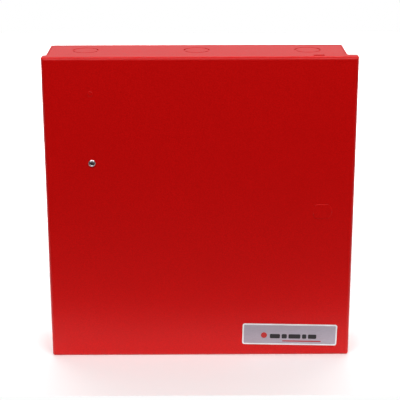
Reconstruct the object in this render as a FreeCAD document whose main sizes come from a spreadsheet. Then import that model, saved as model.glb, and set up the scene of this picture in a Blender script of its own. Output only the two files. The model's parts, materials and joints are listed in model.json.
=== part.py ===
import FreeCAD, Part
import math
import os
import re

import Sketcher
from FreeCAD import Placement, Rotation, Vector

# A wall-mounted fire alarm control panel: a folded sheet-steel cabinet with a wrap-around door.
# Frame: +X right, +Y into the wall, +Z up. The origin is on the wall plane, at the middle of the door.

SIZES = {
    # cabinet and door
    "sheet": 1.5,
    "door_width": 330,
    "door_height": 338,
    "door_flange": 11,
    "door_bend": 4,
    "door_corner": 2.2,
    "slit_length": 5,
    "slit_inset": 3,
    "cabinet_depth": 82.5,
    "door_gap": 1.5,
    "box_width": 317.5,
    "box_shift": -3.3,
    "box_margin": 2.9,
    "box_lip": 10,
    "box_bend": 2,
    "seam_width": 0.4,
    "seam_inset": 1.9,
    "seam_depth": 0.5,
    # conduit knockouts, and the slot in the door's top flange
    "knockout_radius": 14.1,
    "knockout_cut": 1.6,
    "knockout_deep": 1.2,
    "knockout_tab": 4,
    "knockout_tab_shift": 2.8,
    "knockout_pitch": 119,
    "knockout_from_wall": 31.5,
    "side_knockout_from_wall": 39.5,
    "side_knockout_high": 122,
    "side_knockout_low": 20,
    "relief_width": 1.6,
    "relief_depth": 2.2,
    "relief_height": 1.3,
    "slot_x": 123.6,
    "slot_length": 11.6,
    "slot_width": 5,
    "slot_from_back": 1.8,
    # holes in the back for the wall screws
    "wall_hole_radius": 3.25,
    "wall_pitch_x": 280,
    "wall_pitch_z": 202,
    "wall_hole_low": -52,
    # hinges
    "hinge_height": 60,
    "hinge_z": 105,
    "barrel_radius": 2,
    "hinge_pin_radius": 1,
    "pin_clearance": 0.05,
    "leaf_thick": 1,
    "leaf_length": 13.4,
    "leaf_relief": 2.3,
    "knuckle_gap": 0.3,
    # indicator and unused punchings in the door
    "indicator_x": -114.7,
    "indicator_z": 55,
    "spare_z": 130,
    "spare_radius": 3,
    "punching_proud": 0.4,
    "bezel_radius": 3.9,
    "bezel_proud": 1.6,
    "bezel_barrel": 3,
    "bezel_bore": 2.55,
    "bezel_length": 13,
    "lock_x": 131,
    "lock_radius": 10.4,
    "lock_flat": 16.4,
    # nameplate
    "plate_x": 98.9,
    "plate_z": -143.7,
    "plate_width": 105,
    "plate_height": 25,
    "plate_thick": 0.9,
    "plate_corner": 2.5,
    "plate_turn": 1.25,
    # circuit board
    "board_x": -80,
    "board_z": -38,
    "board_width": 204,
    "board_height": 186,
    "board_thick": 1.6,
    "board_hole": 1.7,
    "board_hole_inset": 5,
    "standoff_height": 12,
    "standoff_radius": 3.5,
    "screw_radius": 1.45,
    "screw_bore": 1.5,
    "screw_head": 2.9,
    # terminal strips
    "way_pitch": 5.08,
    "strip_ways": 16,
    "strip_depth": 12,
    "strip_height": 11,
    "strip_z": -36,
    "zone_strip_x": -62,
    "output_strip_x": 32,
    # display and operator buttons
    "display_x": 32,
    "display_z": 108,
    "display_width": 98,
    "display_height": 60,
    "display_stand": 8,
    "display_frame": 7.5,
    "display_window_x": 72,
    "display_window_z": 25,
    "button_z": 62,
    "button_x": 2,
    "button_pitch": 20,
    "button_radius": 5,
    "button_travel": 0.6,
    # lamps, sounder, relays, chips, capacitors, heat sink and fuses on the board
    "lamp_x": -24,
    "lamp_radius": 2.5,
    "lamp_proud": 6,
    "sounder_x": 104,
    "sounder_radius": 12,
    "sounder_proud": 9,
    "relay_x": 52,
    "relay_z": 8,
    "relay_pitch": 24,
    "relay_width": 19,
    "relay_cube": 15.5,
    "chip_x": -22,
    "chip_pitch": 14,
    "chip_proud": 3,
    "capacitor_x": -62,
    "capacitor_z": 106,
    "capacitor_pitch": 21,
    "heat_sink_x": -52,
    "heat_sink_z": 130,
    "heat_sink_proud": 26,
    "fin_pitch": 6,
    "fin_gap": 3.2,
    "fuse_x": -64,
    "fuse_z": 14,
    "fuse_pitch": 14,
    "fuse_proud": 6,
    "header_x": -74,
    "supply_header_z": 44,
    "battery_header_z": -8,
    "header_proud": 11,
    # mains terminals and earth studs
    "mains_x": -152,
    "mains_z": 8,
    "mains_pitch": 10,
    "mains_width": 30,
    "mains_proud": 20,
    "mains_height": 22,
    "earth_x": -98,
    "earth_z": -22,
    "stud_radius": 2,
    "door_stud_x": -140,
    "door_stud_z": -120,
    # transformer
    "core_x": -118,
    "core_z": 98,
    "core_width": 56,
    "core_height": 46,
    "core_stack": 26,
    "core_stand": 8,
    # batteries
    "battery_width": 151,
    "battery_depth": 65,
    "battery_height": 94,
    "battery_gap": 4,
    "battery_tab_inset": 11,
    # wiring
    "lead_radius": 1.1,
}

doc = FreeCAD.newDocument("fire_alarm_control_panel")
sheet = doc.addObject("Spreadsheet::Sheet", "Sizes")
for row, (alias, number) in enumerate(SIZES.items(), start=1):
    sheet.set("A%d" % row, alias)
    sheet.set("B%d" % row, str(number))
    sheet.setAlias("B%d" % row, alias)
doc.recompute()

# Places worked out from the driving sizes, written as sheet formulas too.
DERIVED = {
    "door_face": "0 - cabinet_depth",
    "door_back": "door_flange - cabinet_depth",
    "box_front": "sheet + door_gap - cabinet_depth",
    "box_deep": "cabinet_depth - sheet - door_gap",
    "box_tall": "door_height - 2 * box_margin",
    "box_left": "box_shift - box_width / 2",
    "box_right": "box_shift + box_width / 2",
    "box_top": "door_height / 2 - box_margin",
    "box_floor": "sheet + box_margin - door_height / 2",
    "board_back": "0 - sheet - standoff_height",
    "board_face": "0 - sheet - standoff_height - board_thick",
    "hinge_x": "box_shift - box_width / 2 - barrel_radius - 0.4",
    "hinge_y": "door_flange - cabinet_depth + barrel_radius + 0.5",
    "display_face": "0 - sheet - standoff_height - 2 * board_thick - display_stand",
    "battery_left_x": "box_shift - battery_gap / 2 - battery_width",
    "battery_right_x": "box_shift + battery_gap / 2",
    "battery_front": "0 - sheet - 3 - battery_depth",
    "battery_top": "sheet + box_margin - door_height / 2 + battery_height",
}
ALIASES = set(SIZES) | set(DERIVED)


def linked(text, prefix="Sizes."):
    """The formula with each driving size named as a cell of the sheet."""
    def cell(word):
        return prefix + word[0] if word[0] in ALIASES else word[0]
    return re.sub(r"[a-z][a-z_0-9]*", cell, str(text))


for row, (alias, formula) in enumerate(DERIVED.items(), start=len(SIZES) + 2):
    sheet.set("A%d" % row, alias)
    sheet.set("B%d" % row, "=" + formula)
    sheet.setAlias("B%d" % row, alias)
doc.recompute()

NODES = []


def value(formula):
    """The number that a formula of driving sizes comes to, in mm."""
    return float(sheet.evalExpression(linked(formula, "")))


def node(item, name):
    """Names a finished sub-part, and lists it for export."""
    item.Label = name
    NODES.append(item)
    return item


def bind(item, **formulas):
    for name, formula in formulas.items():
        item.setExpression(name, linked(formula))
    return item


def place(item, at, turn=None):
    if turn is not None:
        item.Placement = Placement(Vector(0, 0, 0), turn)
    for axis, formula in zip("xyz", at):
        item.setExpression("Placement.Base." + axis, linked(formula))
    return item


# --- Part primitives and booleans, each size a formula ---

TURNS = {
    "x": Rotation(Vector(0, 1, 0), 90),
    "y": Rotation(Vector(1, 0, 0), -90),
    "z": Rotation(),
}


def box(name, size, at):
    """A box from its low corner."""
    item = doc.addObject("Part::Box", name)
    bind(item, Length=size[0], Width=size[1], Height=size[2])
    return place(item, at)


def rod(name, radius, length, at, axis="y"):
    """A cylinder that runs from a point along +X, +Y or +Z."""
    item = doc.addObject("Part::Cylinder", name)
    bind(item, Radius=radius, Height=length)
    return place(item, at, TURNS[axis])


def cone(name, radius1, radius2, length, at, axis="y"):
    item = doc.addObject("Part::Cone", name)
    bind(item, Radius1=radius1, Radius2=radius2, Height=length)
    return place(item, at, TURNS[axis])


def ball(name, radius, at):
    item = doc.addObject("Part::Sphere", name)
    bind(item, Radius=radius)
    return place(item, at)


def group(name, pieces):
    """Separate solids that stay separate."""
    item = doc.addObject("Part::Compound", name)
    item.Links = list(pieces)
    return item


def cut(name, base, tools):
    item = doc.addObject("Part::Cut", name)
    item.Base = base
    item.Tool = tools[0] if len(tools) == 1 else group(name + "_tools", tools)
    return item


def fuse(name, pieces):
    item = doc.addObject("Part::MultiFuse", name)
    item.Shapes = list(pieces)
    item.Refine = True
    return item


def rounded(name, base, radius, wanted):
    """Rounds the edges of base that wanted(edge) picks."""
    doc.recompute()
    size = value(radius)
    item = doc.addObject("Part::Fillet", name)
    item.Base = base
    item.Edges = [(i, size, size) for i, edge in enumerate(base.Shape.Edges, start=1) if wanted(edge)]
    return item


def bevelled(name, base, size, wanted):
    """Bevels the edges of base that wanted(edge) picks."""
    doc.recompute()
    depth = value(size)
    item = doc.addObject("Part::Chamfer", name)
    item.Base = base
    item.Edges = [(i, depth, depth) for i, edge in enumerate(base.Shape.Edges, start=1) if wanted(edge)]
    return item


def along(axis):
    """Picks straight edges that run along one axis."""
    def wanted(edge):
        if edge.Curve.TypeId != "Part::GeomLine":
            return False
        return abs(abs(edge.Curve.Direction.dot(axis)) - 1) < 1e-6
    return wanted


# --- PartDesign bodies ---

def new_body(name):
    return doc.addObject("PartDesign::Body", name)


def new_sketch(body, name, role, lift):
    """A sketch on one of the body's own origin planes, lifted along the plane's normal."""
    sketch = body.newObject("Sketcher::SketchObject", name)
    plane = [item for item in body.Origin.OriginFeatures if item.Role == role][0]
    sketch.AttachmentSupport = [(plane, "")]
    sketch.MapMode = "FlatFace"
    sketch.setExpression("AttachmentOffset.Base.z", linked(lift))
    return sketch


def dimension(sketch, kind, first, second, formula):
    index = sketch.addConstraint(Sketcher.Constraint(kind, *first, *second, value(formula)))
    sketch.setExpression("Constraints[%d]" % index, linked(formula))


def rectangle(body, name, role, left, low, wide, tall, lift="0"):
    """A sketch of one rectangle, with its four sizes bound to the sheet."""
    sketch = new_sketch(body, name, role, lift)
    x, y = value(left), value(low)
    right, top = x + value(wide), y + value(tall)
    corners = [Vector(x, y, 0), Vector(right, y, 0), Vector(right, top, 0), Vector(x, top, 0)]
    for i in range(4):
        sketch.addGeometry(Part.LineSegment(corners[i], corners[(i + 1) % 4]))
    for i in range(4):
        sketch.addConstraint(Sketcher.Constraint("Coincident", i, 2, (i + 1) % 4, 1))
    for i, kind in enumerate(("Horizontal", "Vertical", "Horizontal", "Vertical")):
        sketch.addConstraint(Sketcher.Constraint(kind, i))
    dimension(sketch, "DistanceX", (-1, 1), (0, 1), left)
    dimension(sketch, "DistanceY", (-1, 1), (0, 1), low)
    dimension(sketch, "DistanceX", (0, 1), (0, 2), wide)
    dimension(sketch, "DistanceY", (1, 1), (1, 2), tall)
    return sketch


def circles(body, name, role, centres, radius, lift="0"):
    """A sketch of equal circles, with their places and radius bound to the sheet."""
    sketch = new_sketch(body, name, role, lift)
    for i, (x, y) in enumerate(centres):
        sketch.addGeometry(Part.Circle(Vector(value(x), value(y), 0), Vector(0, 0, 1), value(radius)))
        dimension(sketch, "DistanceX", (-1, 1), (i, 3), x)
        dimension(sketch, "DistanceY", (-1, 1), (i, 3), y)
        dimension(sketch, "Radius", (i,), (), radius)
    return sketch


def pad(body, sketch, length):
    feature = body.newObject("PartDesign::Pad", sketch.Name + "_pad")
    feature.Profile = sketch
    feature.setExpression("Length", linked(length))
    sketch.Visibility = False
    return feature


def pocket(body, sketch, length, reverse=False):
    """A pocket, with a test that it took material away."""
    doc.recompute()
    before = body.Shape.Volume
    feature = body.newObject("PartDesign::Pocket", sketch.Name + "_pocket")
    feature.Profile = sketch
    feature.Reversed = reverse
    feature.setExpression("Length", linked(length))
    sketch.Visibility = False
    doc.recompute()
    if body.Shape.Volume > before - 1e-3:
        raise RuntimeError(feature.Name + " cuts nothing")
    return feature


def fillet(body, name, radius, wanted):
    """Rounds the edges of the body's last feature that wanted(edge) picks."""
    doc.recompute()
    last = body.Tip
    names = ["Edge%d" % i for i, edge in enumerate(last.Shape.Edges, start=1) if wanted(edge)]
    feature = body.newObject("PartDesign::Fillet", name)
    feature.Base = (last, names)
    feature.setExpression("Radius", linked(radius))
    doc.recompute()
    return feature


def at_depth(y):
    """Picks edges that lie in the plane y = a formula."""
    depth = value(y)
    return lambda edge: all(abs(corner.Point.y - depth) < 1e-4 for corner in edge.Vertexes)


# --- Wiring ---

def rounded_path(points, bend):
    """Straight runs joined by tangent arcs of one radius, as one wire."""
    edges = []
    start = points[0]
    for before, corner, after in zip(points, points[1:], points[2:]):
        into = (corner - before).normalize()
        out = (after - corner).normalize()
        turn = into.getAngle(out)
        reach = bend * math.tan(turn / 2)
        first, last = corner - into * reach, corner + out * reach
        inward = (out - into).normalize()
        middle = corner + inward * (bend / math.cos(turn / 2) - bend)
        edges.append(Part.LineSegment(start, first).toShape())
        edges.append(Part.Arc(first, middle, last).toShape())
        start = last
    edges.append(Part.LineSegment(start, points[-1]).toShape())
    return Part.Wire(edges)


def lead(name, points, bend):
    """An insulated wire: a round tube along runs and arcs, its places read from the sheet."""
    route = [Vector(*[value(formula) for formula in point]) for point in points]
    path = rounded_path(route, bend)
    radius = value("lead_radius")
    ring = Part.Wire([Part.Circle(route[0], route[1] - route[0], radius).toShape()])
    item = doc.addObject("Part::Feature", name)
    item.Shape = path.makePipeShell([ring], True, False)
    item.Placement = Placement()
    drawn = math.pi * radius ** 2 * path.Length
    print("%-22s length %6.1f mm, volume %.3f of the section times the length"
          % (name, path.Length, item.Shape.Volume / drawn))
    return node(item, name)


# --- Back box ---

def knockout(name, at, axis, outward, tab_axis, tab_shift="0"):
    """The groove around one conduit knockout, broken by a tab on each side of the disc."""
    long = "knockout_deep + 1"
    index = "xyz".index(axis)
    across = "xyz".index(tab_axis)
    side = 3 - index - across
    start = list(at)
    start[index] = "%s - %s" % (at[index], "knockout_deep" if outward > 0 else "1")
    outer = rod(name + "_outer", "knockout_radius", long, start, axis)
    inner = rod(name + "_inner", "knockout_radius - knockout_cut", long, start, axis)
    size = ["knockout_tab"] * 3
    size[index] = long
    size[across] = "2 * knockout_radius + 4"
    corner = list(start)
    corner[across] = "%s - knockout_radius - 2" % at[across]
    corner[side] = "%s - knockout_tab / 2 - %s" % (at[side], tab_shift)
    return cut(name, outer, [fuse(name + "_kept", [inner, box(name + "_tab", size, corner)])])


def back_box_body():
    """The folded tray: back, four walls and the lip around the front opening."""
    body = new_body("back_box_body")
    outline = rectangle(body, "box_outline", "XZ_Plane", "box_left", "0 - box_tall / 2",
                        "box_width", "box_tall")
    pad(body, outline, "box_deep")
    fillet(body, "box_back_bends", "box_bend", at_depth("0"))
    hollow = rectangle(body, "box_hollow", "XZ_Plane", "box_left + sheet", "sheet - box_tall / 2",
                       "box_width - 2 * sheet", "box_tall - 2 * sheet", "box_deep - sheet")
    pocket(body, hollow, "box_deep - 2 * sheet")
    mouth = rectangle(body, "box_mouth", "XZ_Plane", "box_left + box_lip", "box_lip - box_tall / 2",
                      "box_width - 2 * box_lip", "box_tall - 2 * box_lip", "box_deep")
    pocket(body, mouth, "sheet")
    columns = ["box_shift - wall_pitch_x / 2", "box_shift + wall_pitch_x / 2"]
    rows = ["wall_hole_low", "wall_hole_low + wall_pitch_z"]
    holes = circles(body, "wall_holes", "XZ_Plane", [(x, z) for x in columns for z in rows], "wall_hole_radius")
    pocket(body, holes, "sheet", reverse=True)
    return body


def box_seams():
    """The seam beside each side wall on the top and the bottom, and a relief notch at each back corner."""
    tools = []
    for side, x in (("left", "box_left + seam_inset"), ("right", "box_right - seam_inset - seam_width")):
        for face, z in (("top", "box_top - seam_depth"), ("bottom", "0 - box_top - 1")):
            name = "seam_%s_%s" % (face, side)
            size = ("seam_width", "box_deep + 2", "seam_depth + 1")
            tools.append(box(name, size, (x, "box_front - 1", z)))
    for side, x in (("left", "box_left - 1"), ("right", "box_right - relief_width")):
        for face, z in (("top", "box_top - relief_height"), ("bottom", "0 - box_top - 1")):
            size = ("relief_width + 1", "relief_depth + 1", "relief_height + 1")
            tools.append(box("relief_%s_%s" % (face, side), size, (x, "0 - relief_depth", z)))
    return tools


def box_knockouts():
    """Three knockouts in the top, and two in each side wall near the top and below the middle."""
    tools = []
    for i in (-1, 0, 1):
        at = ["box_shift + %d * knockout_pitch" % i, "0 - knockout_from_wall", "box_top"]
        tools.append(knockout("top_knockout_%d" % (i + 2), at, "z", 1, "x", "knockout_tab_shift"))
    for side, x, outward in (("left", "box_left", -1), ("right", "box_right", 1)):
        for level, z in (("upper", "side_knockout_high"), ("middle", "side_knockout_low")):
            at = [x, "0 - side_knockout_from_wall", z]
            tools.append(knockout("%s_knockout_%s" % (side, level), at, "x", outward, "z"))
    return tools


def make_back_box():
    node(cut("back_box_cut", back_box_body(), box_seams() + box_knockouts()), "back_box")


# --- Door ---

def door_body():
    """The folded door: a flat face with a flange on all four sides."""
    body = new_body("door_body")
    face = rectangle(body, "door_outline", "XZ_Plane", "0 - door_width / 2", "0 - door_height / 2",
                     "door_width", "door_height", "0 - door_back")
    pad(body, face, "door_flange")
    fillet(body, "door_corners", "door_corner", along(Vector(0, 1, 0)))
    fillet(body, "door_bends", "door_bend", at_depth("door_face"))
    hollow = rectangle(body, "door_hollow", "XZ_Plane", "sheet - door_width / 2", "sheet - door_height / 2",
                       "door_width - 2 * sheet", "door_height - 2 * sheet", "0 - door_back")
    pocket(body, hollow, "door_flange - sheet", reverse=True)
    fillet(body, "door_inner_bends", "door_bend - sheet", at_depth("door_face + sheet"))
    hole = circles(body, "indicator_hole", "XZ_Plane", [("indicator_x", "indicator_z")],
                   "bezel_barrel + 0.1", "0 - door_face")
    pocket(body, hole, "sheet")
    return body


def corner_slits():
    """The open seam where two flanges meet, cut on the mitre at each corner."""
    tools = []
    for sx in (-1, 1):
        for sz in (-1, 1):
            name = "slit_%s_%s" % ("left" if sx < 0 else "right", "low" if sz < 0 else "high")
            slit = box(name, ("slit_length", "door_flange - door_bend", "seam_width"), ("0", "0", "0"))
            outwards = math.degrees(math.atan2(-sz, sx))
            slit.Placement = Placement(Vector(0, 0, 0), Rotation(Vector(0, 1, 0), outwards))
            place(slit, ("%d * (door_width / 2 - slit_inset)" % sx, "door_back - door_flange + door_bend",
                         "%d * (door_height / 2 - slit_inset)" % sz))
            tools.append(slit)
    return tools


def punchings():
    """Two punchings that are still closed and stand slightly proud.

    One is for a cam lock, a circle with two flats. The other is round, for a second indicator.
    """
    start = "door_face - punching_proud"
    deep = "punching_proud + sheet / 2"
    disc = rod("lock_disc", "lock_radius", deep, ("lock_x", start, "0"))
    flats = box("lock_flats", ("3 * lock_radius", deep, "lock_flat"),
                ("lock_x - 1.5 * lock_radius", start, "0 - lock_flat / 2"))
    lock = doc.addObject("Part::MultiCommon", "lock_punching")
    lock.Shapes = [disc, flats]
    spare = cone("spare_punching", "spare_radius - punching_proud", "spare_radius", "punching_proud",
                 ("indicator_x", start, "spare_z"))
    return [bevelled("lock_bevelled", lock, "punching_proud * 0.8", at_depth(start)), spare]


def make_door():
    slot = box("top_slot", ("slot_length", "slot_width", "sheet + 2"),
               ("slot_x - slot_length / 2", "door_back - slot_from_back - slot_width",
                "door_height / 2 - sheet - 1"))
    sheet_metal = cut("door_cut", door_body(), corner_slits() + [slot])
    node(fuse("door_fused", [sheet_metal] + punchings()), "door")


# --- Hinges ---

def make_hinge(level, z):
    """One butt hinge: a leaf on the door, a leaf on the box, and the pin through their knuckles."""
    third = "hinge_height / 3"
    low = "%s - hinge_height / 2" % z

    def leaf(side, plate_y, tab_y, x, knuckles):
        name = "hinge_%s_leaf_%s" % (side, level)
        parts = [box(name + "_plate", ("leaf_thick", "leaf_length - leaf_relief - 4", "hinge_height"),
                     (x, plate_y, low))]
        for i in knuckles:
            start = "%s + %d * %s + knuckle_gap / 2" % (low, i, third)
            tall = "%s - knuckle_gap" % third
            axle = ("hinge_x", "hinge_y", start)
            tab_size = ("leaf_thick", "leaf_relief + 1", tall)
            parts.append(rod("%s_knuckle_%d" % (name, i), "barrel_radius", tall, axle, "z"))
            parts.append(box("%s_tab_%d" % (name, i), tab_size, (x, tab_y, start)))
        bore = rod(name + "_bore", "hinge_pin_radius + pin_clearance", "hinge_height + 2",
                   ("hinge_x", "hinge_y", "%s - 1" % low), "z")
        node(cut(name + "_cut", fuse(name + "_blank", parts), [bore]), name)

    door_x = "sheet - door_width / 2"
    leaf("door", "hinge_y - leaf_length + 4", "hinge_y - leaf_relief - 1", door_x, [1])
    leaf("box", "hinge_y + leaf_relief", "hinge_y", "box_left - leaf_thick", [0, 2])
    pin = fuse("hinge_pin_%s_fused" % level, [
        rod("pin_shaft_" + level, "hinge_pin_radius", "hinge_height + 1",
            ("hinge_x", "hinge_y", "%s - 0.5" % low), "z"),
        rod("pin_head_" + level, "hinge_pin_radius + 0.7", "1",
            ("hinge_x", "hinge_y", "%s + hinge_height + 0.2" % low), "z"),
    ])
    node(pin, "hinge_pin_" + level)


# --- Indicator, nameplate and earth studs on the door ---

def hexagon(name, radius, length, at):
    """A hexagonal prism along +Y, with its corners at a radius."""
    item = doc.addObject("Part::Prism", name)
    item.Polygon = 6
    bind(item, Circumradius=radius, Height=length)
    return place(item, at, TURNS["y"])


def make_indicator():
    """The light in the door: a chromed collar, its hexagon nut, and the lamp inside it."""
    def here(y):
        return ("indicator_x", y, "indicator_z")
    collar = fuse("bezel_blank", [
        cone("bezel_rim", "bezel_radius - 0.9", "bezel_radius", "0.9", here("door_face - bezel_proud")),
        rod("bezel_flange", "bezel_radius", "bezel_proud - 0.9", here("door_face - bezel_proud + 0.9")),
        rod("bezel_thread", "bezel_barrel", "bezel_length", here("door_face")),
    ])
    bore = rod("bezel_bore_tool", "bezel_bore", "bezel_length + 4", here("door_face - bezel_proud - 1"))
    node(cut("bezel_cut", collar, [bore]), "indicator_bezel")
    lamp = fuse("lamp_blank", [
        ball("lamp_dome", "1.75", here("door_face - bezel_proud + 1.9")),
        rod("lamp_column", "1.75", "6", here("door_face - bezel_proud + 1.9")),
        rod("lamp_base", "bezel_bore", "3", here("door_face + 5.2")),
    ])
    node(lamp, "indicator_lamp")
    nut = cut("indicator_nut_cut", hexagon("indicator_nut_blank", "4.6", "2.4", here("door_face + sheet")),
              [rod("indicator_nut_bore", "bezel_barrel + 0.02", "6", here("door_face"))])
    node(nut, "indicator_nut")


def make_nameplate():
    """A blank metal plate bonded to the door, set very slightly out of level."""
    blank = box("nameplate_blank", ("plate_width", "plate_thick", "plate_height"),
                ("0 - plate_width / 2", "door_face - plate_thick", "0 - plate_height / 2"))
    plate = rounded("nameplate_rounded", blank, "plate_corner", along(Vector(0, 1, 0)))
    plate.Placement = Placement(Vector(0, 0, 0), Rotation(Vector(0, 1, 0), value("plate_turn")))
    node(place(plate, ("plate_x", "0", "plate_z")), "nameplate")


def make_earth_studs():
    """A welded stud with a nut, one on the back of the box and one on the door."""
    def here(y):
        return ("earth_x", y, "earth_z")
    node(rod("earth_stud_rod", "stud_radius", "14", here("0 - sheet - 14")), "earth_stud")
    nut_blank = hexagon("earth_nut_blank", "2 * stud_radius + 0.04", "3.2", here("0 - sheet - 6.4"))
    nut = cut("earth_nut_cut", nut_blank, [rod("earth_nut_bore", "stud_radius + 0.02", "20", here("0 - 20"))])
    node(nut, "earth_nut")
    washer = cut("earth_washer_cut", rod("earth_washer_blank", "4.5", "1", here("0 - sheet - 1")),
                 [rod("earth_washer_bore", "stud_radius + 0.1", "20", here("0 - 20"))])
    node(washer, "earth_washer")
    node(rod("door_stud_rod", "stud_radius", "9", ("door_stud_x", "door_face + sheet", "door_stud_z")),
         "door_earth_stud")


# --- Circuit board and what is on it ---

def board_holes():
    """The six fixing points: the corners, and the middle of the two long edges."""
    left = "board_x + board_hole_inset"
    right = "board_x + board_width - board_hole_inset"
    rows = ["board_z + 16", "board_z + board_height / 2", "board_z + board_height - board_hole_inset"]
    return [(x, z) for x in (left, right) for z in rows]


def make_board():
    body = new_body("main_board_body")
    outline = rectangle(body, "board_outline", "XZ_Plane", "board_x", "board_z", "board_width", "board_height",
                        "0 - board_back")
    pad(body, outline, "board_thick")
    holes = circles(body, "board_fixing_holes", "XZ_Plane", board_holes(), "board_hole", "0 - board_face")
    pocket(body, holes, "board_thick")
    node(body, "main_board")
    posts = []
    screws = []
    for i, (x, z) in enumerate(board_holes()):
        post = rod("post_%d" % i, "standoff_radius", "standoff_height", (x, "board_back", z))
        bore = rod("post_bore_%d" % i, "screw_bore", "9", (x, "board_back", z))
        posts.append(cut("standoff_%d" % i, post, [bore]))
        head = cone("screw_head_%d" % i, "screw_head - 0.8", "screw_head", "1.8", (x, "board_face - 1.8", z))
        shank = rod("screw_shank_%d" % i, "screw_radius", "8", (x, "board_face - 0.5", z))
        cross = [box("cross_a_%d" % i, ("3", "2", "0.6"), ("%s - 1.5" % x, "board_face - 2.9", "%s - 0.3" % z)),
                 box("cross_b_%d" % i, ("0.6", "2", "3"), ("%s - 0.3" % x, "board_face - 2.9", "%s - 1.5" % z))]
        blank = fuse("screw_blank_%d" % i, [head, shank])
        screws.append(cut("screw_%d" % i, blank, [fuse("cross_%d" % i, cross)]))
    node(group("board_standoffs_group", posts), "board_standoffs")
    node(group("board_screws_group", screws), "board_screws")


def on_board(name, x, z, wide, tall, proud, lift="0"):
    """A block on the front of the board, from the place of its middle."""
    at = ("%s - (%s) / 2" % (x, wide), "board_face - (%s) - (%s)" % (proud, lift), "%s - (%s) / 2" % (z, tall))
    return box(name, (wide, proud, tall), at)


def make_terminal_strip(name, x, screws_name):
    """A strip of screw terminals, with a well in front and a wire entry below for each; gives its screws."""
    length = "strip_ways * way_pitch"
    blank = box(name + "_blank", (length, "strip_depth", "strip_height"),
                (x, "board_face - strip_depth", "strip_z"))
    slope = box(name + "_step", ("%s + 2" % length, "4", "4"),
                ("%s - 1" % x, "board_face - strip_depth - 1", "strip_z + strip_height - 3"))
    tools = [slope]
    screws = []
    for i in range(int(value("strip_ways"))):
        middle = "%s + %.1f * way_pitch" % (x, i + 0.5)
        tools.append(rod("%s_well_%d" % (name, i), "2", "5", (middle, "board_face - strip_depth - 0.5",
                                                              "strip_z + 4.5")))
        tools.append(box("%s_entry_%d" % (name, i), ("3.4", "3.6", "6"),
                         ("%s - 1.7" % middle, "board_face - 5.6", "strip_z - 1")))
        screws.append(rod("%s_screw_%d" % (name, i), "1.8", "2.6",
                          (middle, "board_face - strip_depth + 1.9", "strip_z + 4.5")))
    node(cut(name + "_cut", blank, tools), name)
    slot = box(name + "_slots", (length, "1.2", "0.6"), (x, "board_face - strip_depth + 1.4", "strip_z + 4.2"))
    return cut(screws_name, group(screws_name + "_rods", screws), [slot])


def make_terminals():
    """The two strips on the board and the mains block, with the screws of all three."""
    zones = make_terminal_strip("zone_terminals", "zone_strip_x", "zone_screws")
    outputs = make_terminal_strip("output_terminals", "output_strip_x", "output_screws")
    node(group("terminal_screws_group", [zones, outputs, make_mains_terminals()]), "terminal_screws")


def make_display():
    """The text display on its own small board, carried on four spacers."""
    corner_x = "display_width / 2 - 4"
    corner_z = "display_height / 2 - 4"
    spacers = []
    for sx in (-1, 1):
        for sz in (-1, 1):
            name = "spacer_%d_%d" % (sx + 1, sz + 1)
            spacers.append(rod(name, "2.5", "display_stand", ("display_x + %d * (%s)" % (sx, corner_x),
                                                              "board_face - display_stand",
                                                              "display_z + %d * (%s)" % (sz, corner_z))))
    node(group("display_spacers_group", spacers), "display_spacers")
    card = on_board("display_card", "display_x", "display_z", "display_width", "display_height", "board_thick",
                    "display_stand")
    node(card, "display_board")
    blank = box("display_frame_blank", ("display_width - 4", "display_frame", "display_height - 20"),
                ("display_x - display_width / 2 + 2", "display_face - display_frame",
                 "display_z - display_height / 2 + 10"))
    window = box("display_window", ("display_window_x", "display_frame", "display_window_z"),
                 ("display_x - display_window_x / 2", "display_face - display_frame - 1",
                  "display_z - display_window_z / 2"))
    frame = rounded("display_frame_rounded", blank, "1.5", along(Vector(0, 1, 0)))
    node(cut("display_frame_cut", frame, [window]), "display_frame")
    glass = box("display_glass_pane", ("display_window_x", "1.2", "display_window_z"),
                ("display_x - display_window_x / 2", "display_face - 2.2", "display_z - display_window_z / 2"))
    node(glass, "display_glass")


BUTTONS = ("acknowledge", "silence", "drill", "reset")


def make_buttons():
    """Four operator buttons. Each cap travels straight back over the stem of its switch."""
    cases = []
    for i, purpose in enumerate(BUTTONS):
        x = "button_x + %d * button_pitch" % i
        case = on_board("switch_case_%d" % i, x, "button_z", "12", "12", "4.3")
        collar = rod("switch_collar_%d" % i, "3.4", "1.1", (x, "board_face - 5.4", "button_z"))
        guide = rod("switch_guide_%d" % i, "1.85", "3", (x, "board_face - 5.4", "button_z"))
        cases.append(cut("switch_%d" % i, fuse("switch_blank_%d" % i, [case, collar]), [guide]))
        cap = rod("cap_blank_%d" % i, "button_radius", "5",
                  (x, "board_face - 5.6 - button_travel - 5", "button_z"))
        worn = rounded("cap_round_%d" % i, cap, "0.8", lambda edge: edge.Curve.TypeId == "Part::GeomCircle")
        stem = rod("cap_stem_%d" % i, "1.75", "4", (x, "board_face - 5.6 - button_travel - 2", "button_z"))
        node(fuse("cap_%d" % i, [worn, stem]), purpose + "_button")
    node(group("button_switches_group", cases), "button_switches")


def lamp_group(name, places):
    """Round board lamps, each a rimmed base with a domed top."""
    lamps = []
    for i, (x, z) in enumerate(places):
        lamps.append(fuse("%s_%d" % (name, i), [
            rod("%s_rim_%d" % (name, i), "lamp_radius + 0.4", "1", (x, "board_face - 1", z)),
            rod("%s_column_%d" % (name, i), "lamp_radius", "lamp_proud", (x, "board_face - lamp_proud", z)),
            ball("%s_dome_%d" % (name, i), "lamp_radius", (x, "board_face - lamp_proud", z)),
        ]))
    node(group(name + "_group", lamps), name)


def make_lamps():
    """A column of lamps beside the display: power at the top, then alarm, then trouble."""
    lamp_group("power_lamp", [("lamp_x", "134")])
    lamp_group("alarm_lamps", [("lamp_x", "122"), ("lamp_x", "110")])
    lamp_group("trouble_lamps", [("lamp_x", str(z)) for z in (98, 86, 74)])


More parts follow.
